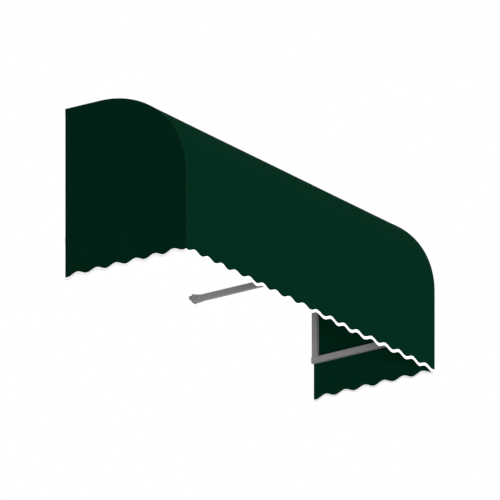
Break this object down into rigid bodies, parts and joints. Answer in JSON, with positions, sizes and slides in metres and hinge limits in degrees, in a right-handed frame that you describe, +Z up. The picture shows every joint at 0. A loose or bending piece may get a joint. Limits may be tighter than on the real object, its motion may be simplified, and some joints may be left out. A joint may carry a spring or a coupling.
{
  "type": "window awning",
  "caption": "Fixed window awning with a rounded cloth cover, flat cloth ends and a waved bound hem, on a box-tube frame that bolts to a wall.",
  "frame": {"origin": "middle of the back face of the middle header bracket, on the wall plane", "axes": "+X to the right as seen from the front, +Y into the wall, +Z up"},
  "size_m": [2.6824, 0.9152, 1.1296],
  "materials": {
    "grey_coat": "satin grey powder coat on aluminium box tube",
    "zinc_plate": "zinc-plated steel",
    "bare_aluminium": "mill aluminium",
    "cap_plastic": "matt moulded grey plastic",
    "green_cloth": "dark green woven acrylic canvas",
    "white_tape": "white woven acrylic binding tape"
  },
  "bodies": {
    "root": {"arm_cap_front_center": "cap_plastic", "arm_cap_front_left": "cap_plastic", "arm_cap_front_right": "cap_plastic", "arm_cap_wall_center": "cap_plastic", "arm_cap_wall_left": "cap_plastic", "arm_cap_wall_right": "cap_plastic", "center_arm": "grey_coat", "center_rib": "grey_coat", "center_rib_screw": "zinc_plate", "center_rib_spigot": "bare_aluminium", "end_panel_left": "green_cloth", "end_panel_right": "green_cloth", "front_bar_left": "grey_coat", "front_bar_right": "grey_coat", "front_bar_screw_left_inner": "zinc_plate", "front_bar_screw_left_outer": "zinc_plate", "front_bar_screw_right_inner": "zinc_plate", "front_bar_screw_right_outer": "zinc_plate", "front_bar_spigot_left_inner": "bare_aluminium", "front_bar_spigot_left_outer": "bare_aluminium", "front_bar_spigot_right_inner": "bare_aluminium", "front_bar_spigot_right_outer": "bare_aluminium", "header_bar": "grey_coat", "header_bracket_left": "grey_coat", "header_bracket_middle": "grey_coat", "header_bracket_right": "grey_coat", "header_bracket_screw_left": "zinc_plate", "header_bracket_screw_middle": "zinc_plate", "header_bracket_screw_right": "zinc_plate", "header_screw_left": "zinc_plate", "header_screw_right": "zinc_plate", "header_spigot_left": "bare_aluminium", "header_spigot_right": "bare_aluminium", "hem_binding": "white_tape", "main_sheet": "green_cloth", "post_bracket_left": "grey_coat", "post_bracket_right": "grey_coat", "post_bracket_screw_left": "zinc_plate", "post_bracket_screw_right": "zinc_plate", "purlin_left": "grey_coat", "purlin_right": "grey_coat", "purlin_screw_left_inner": "zinc_plate", "purlin_screw_left_outer": "zinc_plate", "purlin_screw_right_inner": "zinc_plate", "purlin_screw_right_outer": "zinc_plate", "purlin_spigot_left_inner": "bare_aluminium", "purlin_spigot_left_outer": "bare_aluminium", "purlin_spigot_right_inner": "bare_aluminium", "purlin_spigot_right_outer": "bare_aluminium", "rib_cap_wall_left": "cap_plastic", "rib_cap_wall_right": "cap_plastic", "saddle_bolt": "zinc_plate", "saddle_bracket": "grey_coat", "saddle_nut": "zinc_plate", "side_arm_left": "grey_coat", "side_arm_right": "grey_coat", "side_rib_left": "grey_coat", "side_rib_right": "grey_coat", "wall_post_left": "grey_coat", "wall_post_right": "grey_coat"}
  },
  "joints": []
}
